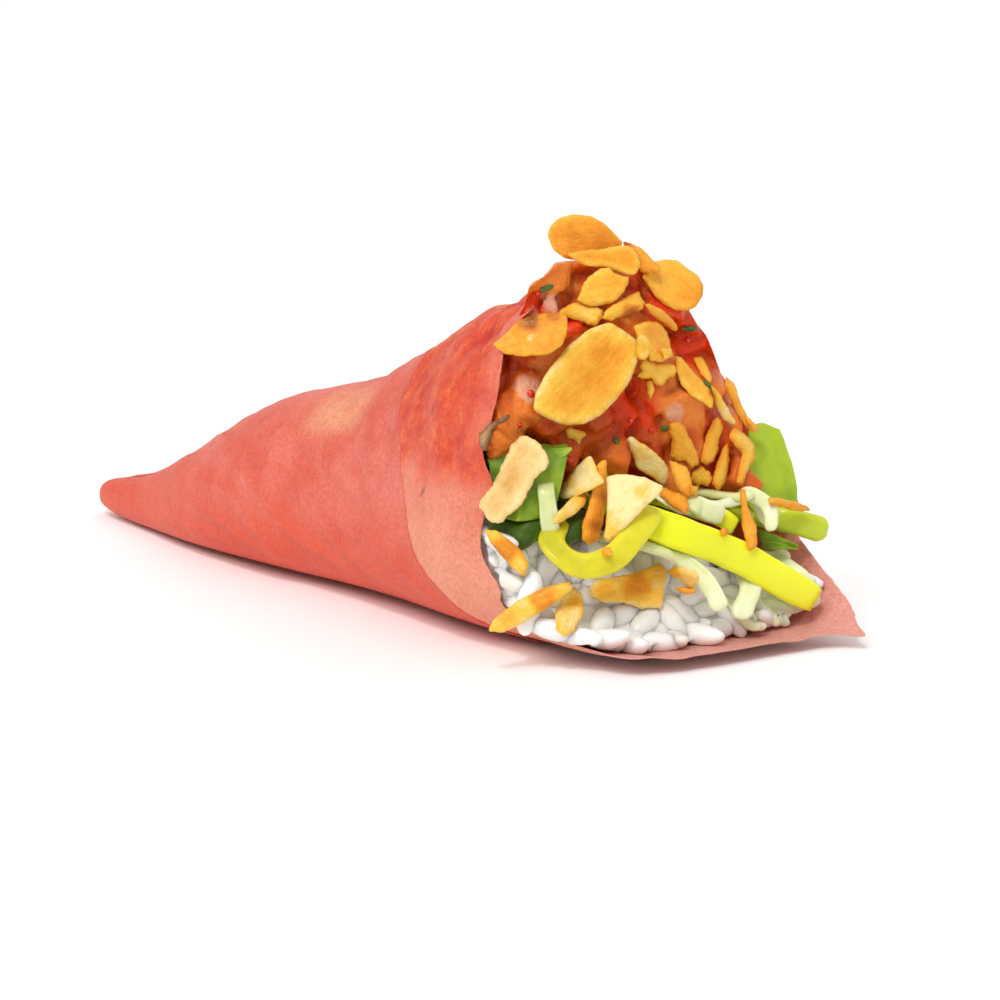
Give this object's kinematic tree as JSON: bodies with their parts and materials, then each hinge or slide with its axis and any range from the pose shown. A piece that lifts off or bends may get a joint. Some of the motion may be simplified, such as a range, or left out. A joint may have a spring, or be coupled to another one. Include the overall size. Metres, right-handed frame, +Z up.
{
  "type": "temaki hand roll",
  "caption": "Cone-shaped temaki hand roll of red soy paper, lying on its side, its open mouth filled with rice, salmon and cut vegetables under toasted sliced almonds.",
  "frame": {"origin": "middle of the whole's box, at the level of the surface it lies on", "axes": "+X along the roll from its closed tip to its open mouth, +Z up, +Y to the roll's left as seen looking from the tip to the mouth"},
  "size_m": [0.1354, 0.0548, 0.0557],
  "materials": {
    "soy_paper": "thin, translucent coral-red soy sheet, matt and finely speckled",
    "cooked_rice": "moist cooked short-grain rice, white and slightly see-through",
    "salmon": "wet chopped salmon in an orange-red spicy dressing",
    "lettuce": "fresh green leaf with a soft sheen",
    "pickled_radish": "wet lemon-yellow pickled radish",
    "pale_daikon": "wet pale yellow-green daikon, slightly see-through",
    "toasted_almond": "toasted sliced almond, amber with browner middles and edges",
    "pale_chip": "lightly toasted pale chip with a rough surface"
  },
  "bodies": {
    "root": {"almond_band": "toasted_almond", "almond_bit_low": "toasted_almond", "almond_blade_far": "toasted_almond", "almond_block_low": "toasted_almond", "almond_brown_bar": "toasted_almond", "almond_chip_far": "toasted_almond", "almond_chip_low": "toasted_almond", "almond_crust": "toasted_almond", "almond_edge_far": "toasted_almond", "almond_fan": "toasted_almond", "almond_half_near": "toasted_almond", "almond_jagged": "toasted_almond", "almond_leaf_low": "toasted_almond", "almond_link": "toasted_almond", "almond_near_rim": "toasted_almond", "almond_needle": "toasted_almond", "almond_oval_low": "toasted_almond", "almond_pale_far": "toasted_almond", "almond_pale_mid": "toasted_almond", "almond_shard_far": "toasted_almond", "almond_shard_mid": "toasted_almond", "almond_slice_back": "toasted_almond", "almond_slice_hidden": "toasted_almond", "almond_slice_large": "toasted_almond", "almond_slice_top": "toasted_almond", "almond_sliver_a": "toasted_almond", "almond_sliver_b": "toasted_almond", "almond_sliver_c": "toasted_almond", "almond_sliver_far": "toasted_almond", "almond_splint_a": "toasted_almond", "almond_splint_b": "toasted_almond", "almond_strip_top": "toasted_almond", "almond_two_tone": "toasted_almond", "almond_vee_lower": "toasted_almond", "almond_vee_upper": "toasted_almond", "almond_wedge_top": "toasted_almond", "daikon_bent": "pale_daikon", "daikon_far": "pale_daikon", "daikon_flat": "pale_daikon", "daikon_hook": "pale_daikon", "daikon_low": "pale_daikon", "daikon_near": "pale_daikon", "lettuce_far": "lettuce", "lettuce_near": "lettuce", "pale_chip": "pale_chip", "radish_curl": "pickled_radish", "radish_far": "pickled_radish", "radish_long": "pickled_radish", "radish_short": "pickled_radish", "rice": "cooked_rice", "salmon": "salmon", "soy_paper": "soy_paper"}
  },
  "joints": []
}
